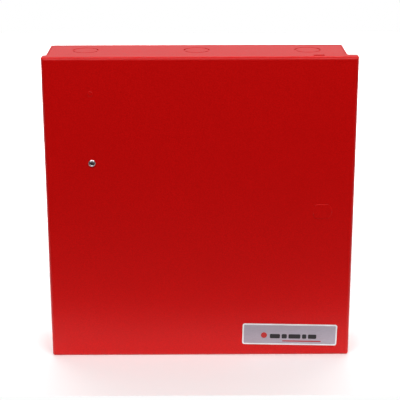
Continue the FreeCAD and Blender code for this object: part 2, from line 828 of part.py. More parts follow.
def make_sounder():
    """The board's own buzzer: a round case with a sound hole."""
    case = rod("sounder_case", "sounder_radius", "sounder_proud",
               ("sounder_x", "board_face - sounder_proud", "button_z"))
    worn = rounded("sounder_worn", case, "1", lambda edge: edge.Curve.TypeId == "Part::GeomCircle")
    hole = rod("sounder_hole", "1.6", "4", ("sounder_x", "board_face - sounder_proud - 1", "button_z"))
    node(cut("sounder_cut", worn, [hole]), "sounder")


def make_relays():
    """Three sealed relays in a row."""
    cases = []
    for i in range(3):
        case = on_board("relay_case_%d" % i, "relay_x + %d * relay_pitch" % i, "relay_z", "relay_width",
                        "relay_cube", "relay_cube")
        cases.append(rounded("relay_%d" % i, case, "0.8", along(Vector(0, 1, 0))))
    node(group("relays_group", cases), "relays")


def make_chips():
    """The processor and the small chips around it."""
    chips = [on_board("processor", "8", "26", "20", "20", "2.2")]
    for i in range(4):
        chips.append(on_board("chip_%d" % i, "chip_x + %d * chip_pitch" % i, "2", "7.5", "13", "chip_proud"))
    for i in range(2):
        chips.append(on_board("driver_%d" % i, "chip_x", "22 + %d * 16" % i, "13", "7.5", "chip_proud"))
    node(group("chips_group", chips), "board_chips")


def make_capacitors():
    """Smoothing capacitors, with the rolled rim that a can has near its base."""
    cans = []
    for i, (radius, tall) in enumerate((("9", "30"), ("9", "30"), ("6.3", "20"))):
        x, z = "capacitor_x", "capacitor_z - %d * capacitor_pitch" % i
        can = rod("can_%d" % i, radius, tall, (x, "board_face - %s" % tall, z))
        ring = rod("can_ring_%d" % i, "%s + 1" % radius, "1.2", (x, "board_face - 5", z))
        neck = rod("can_neck_%d" % i, "%s - 0.5" % radius, "3", (x, "board_face - 6", z))
        groove = cut("can_groove_%d" % i, ring, [neck])
        cans.append(cut("capacitor_%d" % i, can, [groove]))
    node(group("capacitors_group", cans), "capacitors")


def make_heat_sink():
    """A finned extrusion standing over the power devices."""
    blank = on_board("heat_sink_blank", "heat_sink_x", "heat_sink_z", "44", "16", "heat_sink_proud")
    gaps = []
    for i in range(7):
        left = "heat_sink_x - fin_gap / 2 + %d * fin_pitch" % (i - 3)
        gaps.append(box("fin_gap_%d" % i, ("fin_gap", "heat_sink_proud + 1", "12"),
                        (left, "board_face - heat_sink_proud - 1", "heat_sink_z - 3")))
    node(cut("heat_sink_cut", blank, gaps), "heat_sink")
    node(on_board("regulator_case", "heat_sink_x", "heat_sink_z - 10.4", "10.4", "4.6", "16"), "regulator")


def make_fuses():
    """Two glass fuses in spring clips."""
    clips = []
    glass = []
    caps = []
    for i in range(2):
        z = "fuse_z + %d * fuse_pitch" % i
        for k, x in enumerate(("fuse_x - 8", "fuse_x + 8")):
            base = on_board("clip_base_%d_%d" % (i, k), x, z, "5", "8", "9")
            throat = rod("clip_throat_%d_%d" % (i, k), "2.65", "9",
                         ("%s - 4" % x, "board_face - fuse_proud", z), "x")
            mouth = on_board("clip_mouth_%d_%d" % (i, k), x, z, "9", "4.4", "5", "fuse_proud")
            clips.append(cut("clip_%d_%d" % (i, k), base, [fuse("clip_gap_%d_%d" % (i, k), [throat, mouth])]))
        glass.append(rod("fuse_glass_%d" % i, "2.3", "12", ("fuse_x - 6", "board_face - fuse_proud", z), "x"))
        for k, x in enumerate(("fuse_x - 11", "fuse_x + 6")):
            caps.append(rod("fuse_cap_%d_%d" % (i, k), "2.6", "5", (x, "board_face - fuse_proud", z), "x"))
    node(group("fuse_clips_group", clips), "fuse_clips")
    node(group("fuse_glass_group", glass), "fuse_glass")
    node(group("fuse_caps_group", caps), "fuse_caps")


def make_plug_headers():
    """White headers: transformer supply at the left edge, and the battery header beside it."""
    supply = on_board("supply_header", "header_x", "supply_header_z", "8", "12", "header_proud")
    battery = on_board("battery_header", "header_x", "battery_header_z", "8", "12", "header_proud")
    node(group("plug_headers_group", [supply, battery]), "plug_headers")


# --- Mains side: transformer, mains terminals ---

def make_transformer():
    """A laminated core in a clamp frame, with its winding standing out in front and behind."""
    half = "core_width / 2"
    core = box("core_block", ("core_width", "core_stack", "core_height"),
               ("core_x - %s" % half, "0 - sheet - core_stand - core_stack", "core_z - core_height / 2"))
    windows = []
    for i, x in enumerate(("core_x - core_width / 3", "core_x + core_width / 6")):
        windows.append(box("core_window_%d" % i, ("core_width / 6", "core_stack + 2", "core_height * 0.56"),
                           (x, "0 - sheet - core_stand - core_stack - 1", "core_z - core_height * 0.28")))
    node(cut("core_cut", core, windows), "transformer_core")
    coil = box("coil_block", ("core_width * 2 / 3 - 0.6", "core_stack + 12", "core_height * 0.56 - 0.6"),
               ("core_x - core_width / 3 + 0.3", "0 - sheet - core_stand - core_stack - 6",
                "core_z - core_height * 0.28 + 0.3"))
    coil = rounded("coil_rounded", coil, "4", along(Vector(0, 0, 1)))
    leg = box("coil_leg_hole", ("core_width / 3 + 0.4", "core_stack + 0.4", "core_height"),
              ("core_x - core_width / 6 - 0.2", "0 - sheet - core_stand - core_stack - 0.2",
               "core_z - core_height / 2"))
    node(cut("coil_cut", coil, [leg]), "transformer_winding")
    plate = box("bracket_plate", ("core_width + 26", "1.5", "20"),
                ("core_x - core_width / 2 - 13", "0 - sheet - 1.5", "core_z - 10"))
    arms = []
    for i, x in enumerate(("core_x - core_width / 2 - 1.5", "core_x + core_width / 2")):
        arms.append(box("bracket_arm_%d" % i, ("1.5", "core_stand + core_stack", "20"),
                        (x, "0 - sheet - core_stand - core_stack", "core_z - 10")))
    screws = []
    holes = []
    for i, x in enumerate(("core_x - core_width / 2 - 8", "core_x + core_width / 2 + 8")):
        holes.append(rod("bracket_hole_%d" % i, "2.1", "4", (x, "0 - sheet - 3", "core_z")))
        screws.append(cut("bracket_screw_%d" % i, rod("bracket_head_%d" % i, "3.6", "2.4",
                                                      (x, "0 - sheet - 3.9", "core_z")),
                          [box("bracket_slot_%d" % i, ("8", "1", "0.8"), ("%s - 4" % x, "0 - sheet - 4.1",
                                                                          "core_z - 0.4"))]))
    node(cut("bracket_cut", fuse("bracket_blank", [plate] + arms), holes), "transformer_bracket")
    node(group("bracket_screws_group", screws), "bracket_screws")


def make_mains_terminals():
    """A three-way mains block on the back of the box, with deep screw wells; gives its screws."""
    x, z = "mains_x", "mains_z"
    blank = box("mains_blank", ("mains_width", "mains_proud", "mains_height"),
                (x, "0 - sheet - mains_proud", z))
    tools = []
    screws = []
    for i in range(3):
        middle = "%s + %.1f * mains_pitch" % (x, i + 0.5)
        level = "%s + mains_height / 2" % z
        tools.append(rod("mains_well_%d" % i, "2.8", "9", (middle, "0 - sheet - mains_proud - 1", level)))
        for k, low in enumerate(("%s - 1" % z, "%s + 16" % z)):
            tools.append(box("mains_entry_%d_%d" % (i, k), ("5", "5", "7"),
                             ("%s - 2.5" % middle, "0 - sheet - 10", low)))
        screws.append(rod("mains_screw_%d" % i, "2.5", "4", (middle, "0 - sheet - 16", level)))
    node(cut("mains_cut", blank, tools), "mains_terminals")
    slot = box("mains_slots", ("mains_width", "1.5", "0.8"),
               (x, "0 - sheet - 16.5", "%s + mains_height / 2 - 0.4" % z))
    return cut("mains_screws", group("mains_screws_rods", screws), [slot])


# --- Batteries ---

def make_battery(side, x):
    """A sealed battery: its case, and the lid that overhangs it slightly."""
    case = box("battery_case_" + side, ("battery_width", "battery_depth", "battery_height"),
               (x, "battery_front", "box_floor"))
    case = rounded("battery_round_" + side, case, "2.5", along(Vector(0, 0, 1)))
    seam = cut("battery_seam_" + side, box("battery_band_" + side,
                                           ("battery_width + 2", "battery_depth + 2", "0.8"),
                                           ("%s - 1" % x, "battery_front - 1", "battery_top - 16")),
               [box("battery_core_" + side, ("battery_width - 1", "battery_depth - 1", "4"),
                    ("%s + 0.5" % x, "battery_front + 0.5", "battery_top - 18"))])
    wells = [box("battery_well_%s_%d" % (side, i), ("14", "14", "3"),
                 (well_x, "battery_front + battery_tab_inset - 7", "battery_top - 3"))
             for i, well_x in enumerate(("%s + 6" % x, "%s + battery_width - 20" % x))]
    node(cut("battery_cut_" + side, case, [seam] + wells), "battery_" + side)


def battery_tab_places():
    """The middle of each battery tab, from left to right."""
    return ["battery_left_x + 13", "battery_left_x + battery_width - 13",
            "battery_right_x + 13", "battery_right_x + battery_width - 13"]


def make_battery_parts():
    make_battery("left", "battery_left_x")
    make_battery("right", "battery_right_x")
    tabs = []
    sleeves = []
    for i, x in enumerate(battery_tab_places()):
        low = "battery_top - 3"
        y = "battery_front + battery_tab_inset"
        tabs.append(box("tab_%d" % i, ("4.8", "0.8", "9"), ("%s - 2.4" % x, "%s - 0.4" % y, low)))
        sleeve = box("sleeve_block_%d" % i, ("7", "4", "15"), ("%s - 3.5" % x, "%s - 2" % y, "%s + 2" % low))
        gap = box("sleeve_gap_%d" % i, ("5", "1", "9.3"), ("%s - 2.5" % x, "%s - 0.5" % y, low))
        sleeves.append(cut("sleeve_%d" % i, sleeve, [gap]))
    node(group("battery_tabs_group", tabs), "battery_tabs")
    node(group("tab_sleeves_group", sleeves), "tab_sleeves")


# --- Wiring ---

def make_leads():
    """The wiring that the cabinet holds: battery leads, the link between them, and the mains side."""
    tab_y = "battery_front + battery_tab_inset"
    sleeve_top = "battery_top + 14"
    tabs = battery_tab_places()
    header_z = "battery_header_z - 6"
    coil_low = "core_z - core_height * 0.28 + 0.3"
    coil_front = "0 - sheet - core_stand - core_stack - 3.5"
    mains_middle = "0 - sheet - 7.5"
    lead("battery_link", [
        (tabs[1], tab_y, sleeve_top),
        (tabs[1], tab_y, "battery_top + 26"),
        (tabs[2], tab_y, "battery_top + 26"),
        (tabs[2], tab_y, sleeve_top),
    ], 9)
    lead("battery_lead_positive", [
        (tabs[0], tab_y, sleeve_top),
        (tabs[0], tab_y, "battery_top + 24"),
        ("header_x - 2", "board_face - 6", "battery_top + 24"),
        ("header_x - 2", "board_face - 6", header_z),
    ], 9)
    lead("battery_lead_negative", [
        (tabs[3], tab_y, sleeve_top),
        (tabs[3], tab_y, "battery_top + 20"),
        ("header_x + 2", "board_face - 8", "battery_top + 20"),
        ("header_x + 2", "board_face - 8", header_z),
    ], 5)
    lead("transformer_lead_live", [
        ("mains_x + 5", mains_middle, "26"),
        ("mains_x + 5", mains_middle, "58"),
        ("core_x - 10", coil_front, "58"),
        ("core_x - 10", coil_front, coil_low),
    ], 7)
    lead("transformer_lead_neutral", [
        ("mains_x + 15", mains_middle, "26"),
        ("mains_x + 15", mains_middle, "50"),
        ("core_x - 2", coil_front, "50"),
        ("core_x - 2", coil_front, coil_low),
    ], 7)
    lead("transformer_lead_supply", [
        ("core_x + 10", coil_front, coil_low),
        ("core_x + 10", coil_front, "supply_header_z"),
        ("header_x", coil_front, "supply_header_z"),
        ("header_x", "board_face - header_proud", "supply_header_z"),
    ], 5)
    lead("earth_lead", [
        ("mains_x + 25", mains_middle, "12"),
        ("mains_x + 25", mains_middle, "earth_z"),
        ("earth_x - 6", "0 - sheet - 2.1", "earth_z"),
    ], 9)


def export():
    """Stops if any object failed, then writes each sub-part to its own file."""
    doc.recompute()
    for item in doc.Objects:
        if "Invalid" in item.State or "Error" in item.State:
            raise RuntimeError("%s failed: %s" % (item.Name, item.State))
    os.makedirs("parts", exist_ok=True)
    for item in NODES:
        if item.Shape.isNull() or not item.Shape.isValid():
            raise RuntimeError(item.Label + " has no valid shape")
    for item in NODES:
        item.Shape.exportStep("parts/%s.step" % item.Label)
    print(len(NODES), "sub-parts written")


make_back_box()
make_door()
make_hinge("upper", "hinge_z")
make_hinge("lower", "0 - hinge_z")
make_indicator()
make_nameplate()
make_earth_studs()
make_board()
make_terminals()
make_display()
make_buttons()
make_lamps()
make_sounder()
make_relays()
make_chips()
make_capacitors()
make_heat_sink()
make_fuses()
make_plug_headers()
make_transformer()
make_battery_parts()
make_leads()
export()
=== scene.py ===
import json
import math
import random

import bmesh
import bpy
from mathutils import Matrix, Vector


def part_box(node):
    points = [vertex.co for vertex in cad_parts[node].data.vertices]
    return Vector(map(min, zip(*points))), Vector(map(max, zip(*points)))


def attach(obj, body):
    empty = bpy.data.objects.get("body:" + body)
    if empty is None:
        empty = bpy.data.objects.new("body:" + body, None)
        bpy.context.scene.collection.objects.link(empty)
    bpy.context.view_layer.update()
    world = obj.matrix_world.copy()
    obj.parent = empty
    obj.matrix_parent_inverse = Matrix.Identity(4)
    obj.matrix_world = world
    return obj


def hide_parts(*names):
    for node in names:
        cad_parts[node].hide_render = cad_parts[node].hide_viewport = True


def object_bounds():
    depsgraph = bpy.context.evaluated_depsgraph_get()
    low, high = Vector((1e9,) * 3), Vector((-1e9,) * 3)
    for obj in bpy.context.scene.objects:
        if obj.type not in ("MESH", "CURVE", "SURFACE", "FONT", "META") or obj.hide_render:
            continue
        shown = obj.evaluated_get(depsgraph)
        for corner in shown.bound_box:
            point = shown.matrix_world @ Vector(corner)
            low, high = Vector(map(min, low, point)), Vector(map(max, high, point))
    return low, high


# A red wall-mounted fire alarm control panel: looks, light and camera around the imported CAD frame.
# +X is right, +Y goes into the wall, +Z is up, in metres, with the origin on the wall plane.

MM = 0.001

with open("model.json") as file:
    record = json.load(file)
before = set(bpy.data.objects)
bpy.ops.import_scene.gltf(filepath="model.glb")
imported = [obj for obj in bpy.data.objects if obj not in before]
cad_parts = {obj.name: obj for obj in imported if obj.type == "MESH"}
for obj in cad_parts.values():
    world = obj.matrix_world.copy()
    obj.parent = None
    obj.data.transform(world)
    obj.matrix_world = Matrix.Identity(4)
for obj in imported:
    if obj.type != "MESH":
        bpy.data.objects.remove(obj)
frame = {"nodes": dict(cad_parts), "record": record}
nodes = frame["nodes"]
cad_low, cad_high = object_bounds()

DOOR_FACE = cad_low.y + 1.6 * MM
FLOOR_Z = cad_low.z


# --- Node helpers ---

def new_material(name, color, roughness, metallic=0.0):
    """A Principled material. Gives the material, its node tree and its shader."""
    material = bpy.data.materials.new(name)
    material.use_nodes = True
    tree = material.node_tree
    surface = tree.nodes["Principled BSDF"]
    surface.inputs["Base Color"].default_value = (*color, 1)
    surface.inputs["Roughness"].default_value = roughness
    surface.inputs["Metallic"].default_value = metallic
    return material, tree, surface


def object_space(tree, stretch=(1, 1, 1)):
    """Object coordinates, in metres, stretched along each axis."""
    source = tree.nodes.new("ShaderNodeTexCoord")
    mapping = tree.nodes.new("ShaderNodeMapping")
    mapping.inputs["Scale"].default_value = stretch
    tree.links.new(source.outputs["Object"], mapping.inputs["Vector"])
    return mapping.outputs["Vector"]


def noise(tree, scale, detail=2.0, stretch=(1, 1, 1)):
    texture = tree.nodes.new("ShaderNodeTexNoise")
    texture.inputs["Scale"].default_value = scale
    texture.inputs["Detail"].default_value = detail
    tree.links.new(object_space(tree, stretch), texture.inputs["Vector"])
    return texture.outputs["Fac"]


def bands(tree, scale, direction, distortion=0.0):
    """Parallel lines across one axis, in object space."""
    texture = tree.nodes.new("ShaderNodeTexWave")
    texture.bands_direction = direction
    texture.inputs["Scale"].default_value = scale
    texture.inputs["Distortion"].default_value = distortion
    texture.inputs["Detail"].default_value = 1.0
    tree.links.new(object_space(tree), texture.inputs["Vector"])
    return texture.outputs["Fac"]


def remap(tree, factor, low, high, from_low=0.3, from_high=0.7):
    """Stretches a texture's value onto a new range."""
    node = tree.nodes.new("ShaderNodeMapRange")
    node.inputs["From Min"].default_value = from_low
    node.inputs["From Max"].default_value = from_high
    node.inputs["To Min"].default_value = low
    node.inputs["To Max"].default_value = high
    tree.links.new(factor, node.inputs["Value"])
    return node.outputs["Result"]


def mixed(tree, factor, first, second):
    """A colour between two colours; each is a tuple or a socket."""
    node = tree.nodes.new("ShaderNodeMix")
    node.data_type = "RGBA"
    tree.links.new(factor, node.inputs["Factor"])
    for socket, color in ((node.inputs[6], first), (node.inputs[7], second)):
        if isinstance(color, tuple):
            socket.default_value = (*color, 1)
        else:
            tree.links.new(color, socket)
    return node.outputs[2]


def bump(tree, surface, height, distance, strength=1.0):
    """Adds relief of a real height, in metres, on top of any relief there already."""
    node = tree.nodes.new("ShaderNodeBump")
    node.inputs["Strength"].default_value = strength
    node.inputs["Distance"].default_value = distance
    tree.links.new(height, node.inputs["Height"])
    normal = surface.inputs["Normal"]
    if normal.links:
        tree.links.new(normal.links[0].from_socket, node.inputs["Normal"])
    tree.links.new(node.outputs["Normal"], normal)


def shaded(color, factor):
    return tuple(min(1.0, channel * factor) for channel in color)


# --- Materials ---

def powder_coat(name, color):
    """Baked enamel: orange peel about a millimetre wide, with a fine grain in it."""
    material, tree, surface = new_material(name, color, 0.36)
    grain = noise(tree, 900, 2.0)
    cloud = noise(tree, 14, 2.0)
    fine = mixed(tree, remap(tree, grain, 0, 1), shaded(color, 0.88), shaded(color, 1.1))
    surface_color = mixed(tree, remap(tree, cloud, 0, 0.35), fine, shaded(color, 0.93))
    tree.links.new(surface_color, surface.inputs["Base Color"])
    surface.inputs["Specular IOR Level"].default_value = 0.3
    tree.links.new(remap(tree, grain, 0.33, 0.42), surface.inputs["Roughness"])
    bump(tree, surface, noise(tree, 500, 1.0), 0.0002, 0.6)
    bump(tree, surface, grain, 0.00006, 0.6)
    return material


def brushed_metal(name, color, roughness, direction=(1, 60, 1), metallic=1.0):
    """Rolled or brushed metal, with its grain stretched along one way."""
    material, tree, surface = new_material(name, color, roughness, metallic)
    grain = noise(tree, 260, 3.0, direction)
    tree.links.new(mixed(tree, remap(tree, grain, 0, 1), shaded(color, 0.86), shaded(color, 1.08)),
                   surface.inputs["Base Color"])
    tree.links.new(remap(tree, grain, roughness * 0.8, roughness * 1.3), surface.inputs["Roughness"])
    bump(tree, surface, grain, 0.00003, 0.6)
    return material


def polished_metal(name, color, roughness):
    """Plated metal with faint haze and fine scratches."""
    material, tree, surface = new_material(name, color, roughness, 1.0)
    haze = noise(tree, 1800, 3.0)
    tree.links.new(remap(tree, haze, roughness * 0.7, roughness * 1.5), surface.inputs["Roughness"])
    bump(tree, surface, haze, 0.000003, 0.3)
    return material


def moulded_plastic(name, color, roughness, grain_scale=1400):
    """Injection-moulded plastic with a fine spark-eroded texture."""
    material, tree, surface = new_material(name, color, roughness)
    grain = noise(tree, grain_scale, 2.0)
    tone = noise(tree, 60, 2.0)
    tree.links.new(mixed(tree, remap(tree, tone, 0, 1), shaded(color, 0.92), shaded(color, 1.07)),
                   surface.inputs["Base Color"])
    tree.links.new(remap(tree, grain, roughness * 0.88, roughness * 1.12), surface.inputs["Roughness"])
    bump(tree, surface, grain, 0.00003, 0.6)
    return material


def tinted_clear(name, color, roughness=0.08, transmission=0.85):
    """Clear or tinted moulded resin, as in a lamp."""
    material, tree, surface = new_material(name, color, roughness)
    surface.inputs["Transmission Weight"].default_value = transmission
    surface.inputs["IOR"].default_value = 1.5
    flow = noise(tree, 500, 1.0)
    tree.links.new(remap(tree, flow, roughness * 0.8, roughness * 1.4), surface.inputs["Roughness"])
    bump(tree, surface, flow, 0.00001, 0.3)
    return material


def laminated_iron(name):
    """A stack of varnished iron sheets, edge on: fine lines across the stack."""
    color = (0.085, 0.08, 0.075)
    material, tree, surface = new_material(name, color, 0.45, 0.6)
    lines = bands(tree, 320, "Y", 0.4)
    tree.links.new(mixed(tree, lines, shaded(color, 0.5), shaded(color, 1.7)), surface.inputs["Base Color"])
    bump(tree, surface, lines, 0.00012, 0.7)
    return material


def wound_tape(name, color):
    """Polyester tape over a winding: a soft rise over each turn of wire below, and a glossy film. The colour
    is painted darker in each valley and lighter on each crest: painted shade and painted light that follow
    the relief.
    """
    material, tree, surface = new_material(name, color, 0.24)
    relief_and_painted_shade = bands(tree, 240, "Z", 0.6)
    # one wave gives the relief and the colour: painted shade in the valleys, painted light on the crests
    tree.links.new(mixed(tree, relief_and_painted_shade, shaded(color, 0.75), shaded(color, 1.1)), surface.inputs["Base Color"])
    bump(tree, surface, relief_and_painted_shade, 0.0001, 0.6)
    return material


def solder_mask(name):
    """Green solder mask over copper: broad copper areas show lighter through the film."""
    dark, light = (0.006, 0.062, 0.022), (0.012, 0.125, 0.045)
    material, tree, surface = new_material(name, dark, 0.28)
    pour = tree.nodes.new("ShaderNodeTexVoronoi")
    pour.distance = "CHEBYCHEV"
    pour.feature = "F1"
    pour.inputs["Scale"].default_value = 55
    pour.inputs["Randomness"].default_value = 0.8
    tree.links.new(object_space(tree), pour.inputs["Vector"])
    areas = remap(tree, pour.outputs["Distance"], 1, 0, 0.30, 0.34)
    tree.links.new(mixed(tree, areas, dark, light), surface.inputs["Base Color"])
    bump(tree, surface, areas, 0.00004, 0.7)
    bump(tree, surface, noise(tree, 500, 2.0), 0.00001, 0.4)
    return material


def display_field(name):
    """A reflective liquid-crystal pane: grey-green, with the faint cells of its characters."""
    color = (0.16, 0.22, 0.10)
    material, tree, surface = new_material(name, color, 0.12)
    cells = tree.nodes.new("ShaderNodeTexBrick")
    cells.offset = 0.0
    sizes = {"Scale": 1.0, "Mortar Size": 0.0005, "Brick Width": 0.0034, "Row Height": 0.0056}
    for socket, size in sizes.items():
        cells.inputs[socket].default_value = size
    cells.inputs["Color1"].default_value = (*shaded(color, 0.86), 1)
    cells.inputs["Color2"].default_value = (*shaded(color, 0.83), 1)
    cells.inputs["Mortar"].default_value = (*color, 1)
    turn = tree.nodes.new("ShaderNodeMapping")
    turn.inputs["Rotation"].default_value = (math.radians(-90), 0, 0)
    tree.links.new(object_space(tree), turn.inputs["Vector"])
    tree.links.new(turn.outputs["Vector"], cells.inputs["Vector"])
    tree.links.new(cells.outputs["Color"], surface.inputs["Base Color"])
    bump(tree, surface, noise(tree, 90, 1.0), 0.00002, 0.3)
    return material


RED = (0.685, 0.0018, 0.0014)

MATERIALS = {
    "red_paint": powder_coat("red_powder_coat", RED),
    "zinc_steel": brushed_metal("zinc_plated_steel", (0.60, 0.60, 0.57), 0.32),
    "chrome_plate": polished_metal("chrome", (0.74, 0.73, 0.76), 0.32),
    "clear_lamp": tinted_clear("unlit_lamp_resin", (0.055, 0.018, 0.022), 0.10, 0.15),
    "plate_metal": brushed_metal("brushed_plate", (0.50, 0.445, 0.52), 0.42, (1, 1, 40), 0.25),
    "copper_plated": brushed_metal("yellow_plated", (0.66, 0.46, 0.16), 0.30),
    "board_green": solder_mask("solder_mask"),
    "nylon_white": moulded_plastic("white_nylon", (0.68, 0.67, 0.61), 0.45),
    "steel_bright": polished_metal("nickel_plated", (0.66, 0.65, 0.62), 0.24),
    "terminal_green": moulded_plastic("terminal_green", (0.012, 0.16, 0.05), 0.40),
    "block_grey": moulded_plastic("block_grey", (0.46, 0.46, 0.44), 0.48),
    "black_plastic": moulded_plastic("black_epoxy", (0.014, 0.014, 0.016), 0.46),
    "button_grey": moulded_plastic("button_grey", (0.42, 0.43, 0.45), 0.42),
    "button_red": moulded_plastic("button_red", (0.42, 0.018, 0.012), 0.42),
    "lamp_green": tinted_clear("lamp_green", (0.05, 0.42, 0.08), 0.12, 0.6),
    "lamp_red": tinted_clear("lamp_red", (0.55, 0.02, 0.015), 0.12, 0.6),
    "lamp_amber": tinted_clear("lamp_amber", (0.75, 0.30, 0.02), 0.12, 0.6),
    "display_pane": display_field("display_field"),
    "fuse_tube": tinted_clear("fuse_tube_glass", (0.92, 0.95, 0.95), 0.04, 0.95),
    "fin_metal": brushed_metal("black_anodised", (0.035, 0.035, 0.04), 0.42, (1, 1, 60)),
    "can_sleeve": moulded_plastic("can_sleeve", (0.012, 0.02, 0.075), 0.25),
    "core_iron": laminated_iron("laminated_iron"),
    "coil_tape": wound_tape("coil_tape", (0.55, 0.40, 0.06)),
    "battery_case": moulded_plastic("battery_case", (0.020, 0.021, 0.025), 0.5, 900),
    "sleeve_clear": moulded_plastic("tab_sleeve", (0.30, 0.03, 0.02), 0.35),
    "wire_red": moulded_plastic("wire_red", (0.42, 0.013, 0.010), 0.33),
    "wire_black": moulded_plastic("wire_black", (0.012, 0.012, 0.014), 0.33),
    "wire_white": moulded_plastic("wire_white", (0.66, 0.65, 0.61), 0.33),
    "wire_blue": moulded_plastic("wire_blue", (0.015, 0.06, 0.30), 0.33),
    "wire_green": moulded_plastic("wire_green", (0.015, 0.20, 0.045), 0.33),
}

LABEL_WHITE = moulded_plastic("label_white", (0.94, 0.93, 0.94), 0.42)
LABEL_DARK = moulded_plastic("label_dark", (0.012, 0.011, 0.013), 0.38)
LABEL_RED = moulded_plastic("label_red", (0.50, 0.012, 0.010), 0.38)
LABEL_GREY = moulded_plastic("label_grey", (0.20, 0.20, 0.22), 0.42)
CERAMIC = moulded_plastic("ceramic_tan", (0.36, 0.25, 0.14), 0.5)
CAN_TOP = brushed_metal("can_top", (0.66, 0.66, 0.67), 0.3)


def dress_cad_nodes():
    """Gives every CAD node the material of its slot in the record."""
    for part in frame["record"]["subparts"]:
        for place in nodes[part["node"]].material_slots:
            place.material = MATERIALS[part["material_slot"]]


# --- Mesh helpers ---

def rounded_loop(width, height, corner, depth, steps=6):
    """A rounded rectangle across X and Z, around the origin, at one depth."""
    points = []
    for turn in range(4):
        sx, sz = ((1, 1), (-1, 1), (-1, -1), (1, -1))[turn]
        middle = (sx * (width / 2 - corner), sz * (height / 2 - corner))
        for step in range(steps + 1):
            angle = math.radians(90 * (turn + step / steps))
            across, up = corner * math.cos(angle), corner * math.sin(angle)
            points.append(Vector((middle[0] + across, depth, middle[1] + up)))
    return points


def circle(radius, depth, steps=48):
    """A circle around an axis along Y, or one point where the radius is 0."""
    if radius == 0:
        return [Vector((0, depth, 0))]
    angles = [math.tau * step / steps for step in range(steps)]
    return [Vector((radius * math.cos(angle), depth, radius * math.sin(angle))) for angle in angles]


def tube(bm, loops, centre=(0, 0, 0), closed=False, material=0):
    """Faces between each loop and the next.

    A closed tube joins the last loop to the first. An open one is capped at both ends.
    """
    rings = [[bm.verts.new(point + Vector(centre)) for point in loop] for loop in loops]
    pairs = list(zip(rings, rings[1:]))
    if closed:
        pairs.append((rings[-1], rings[0]))
    faces = []
    for first, second in pairs:
        count = max(len(first), len(second))
        for i in range(count):
            j = (i + 1) % count
            ring = [first[i % len(first)], first[j % len(first)],
                    second[j % len(second)], second[i % len(second)]]
            corners = list(dict.fromkeys(ring))
            if len(corners) > 2:
                faces.append(bm.faces.new(corners))
    if not closed:
        faces += [bm.faces.new(ring) for ring in (rings[0], rings[-1]) if len(ring) > 2]
    for face in faces:
        face.material_index = material


def slab(bm, low, high, edge, material=0):
    """A block with softened edges, between two corners."""
    width, height = high[0] - low[0], high[2] - low[2]
    loops = [rounded_loop(width - 2 * inset, height - 2 * inset, edge, depth, 2)
             for inset, depth in ((edge, high[1]), (0, high[1] - edge), (0, low[1] + edge), (edge, low[1]))]
    tube(bm, loops, ((low[0] + high[0]) / 2, 0, (low[2] + high[2]) / 2), material=material)


def piece(name, bm, body, materials, smooth=35):
    """Turns a bmesh into a piece that rides on a body and carries the materials it is given."""
    bmesh.ops.recalc_face_normals(bm, faces=bm.faces)
    mesh = bpy.data.meshes.new(name)
    bm.to_mesh(mesh)
    bm.free()
    for material in materials:
        mesh.materials.append(material)
    made = bpy.data.objects.new(name, mesh)
    bpy.context.scene.collection.objects.link(made)
    mesh.shade_smooth()
    mesh.set_sharp_from_angle(angle=math.radians(smooth))
    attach(made, body)
    return made


def solids(node):
    """The lowest and highest corners of each separate solid in a CAD node."""
    bm = bmesh.new()
    bm.from_mesh(nodes[node].data)
    bmesh.ops.remove_doubles(bm, verts=bm.verts, dist=1e-6)
    left = set(bm.verts)
    boxes = []
    while left:
        group = {left.pop()}
        edge_of_group = set(group)
        while edge_of_group:
            reached = {rim.other_vert(vert) for vert in edge_of_group for rim in vert.link_edges}
            edge_of_group = reached - group
            group |= edge_of_group
        left -= group
        boxes.append(tuple(Vector([pick(vert.co[axis] for vert in group) for axis in range(3)])
                           for pick in (min, max)))
    bm.free()
    return sorted(boxes, key=lambda box: (round(box[0].x, 4), round(box[0].z, 4)))


def middle_of(box):
    return (box[0] + box[1]) / 2


# --- The door's indicator and nameplate ---

def make_indicator():
    """The chromed collar, domed in front, with a fine thread behind the door."""
    low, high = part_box("indicator_bezel")
    centre = ((low.x + high.x) / 2, DOOR_FACE, (low.z + high.z) / 2)
    front = [(3.92, 0), (3.92, -0.3), (3.8, -0.75), (3.45, -1.2), (2.95, -1.5), (2.45, -1.6), (2.05, -1.5),
             (1.84, -1.2), (1.8, 0.6), (2.52, 0.9), (2.52, 13), (2.85, 13)]
    thread = []
    for turn in range(21):
        depth = 12.7 - 0.4 * turn
        thread += [(3.0, depth), (2.82, depth - 0.2)]
    profile = front + thread + [(3.0, 4.2), (3.0, 0)]
    bm = bmesh.new()
    tube(bm, [circle(radius * MM, depth * MM, 64) for radius, depth in profile], centre, closed=True)
    collar = piece("indicator_collar", bm, "door_panel", [MATERIALS["chrome_plate"]], 50)
    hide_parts("indicator_bezel")


def tilted(bm, centre, turn):
    """Turns everything made around the origin about Y, and moves it to its place."""
    move = Matrix.Translation(centre) @ Matrix.Rotation(math.radians(turn), 4, "Y")
    bmesh.ops.transform(bm, matrix=move, verts=bm.verts)


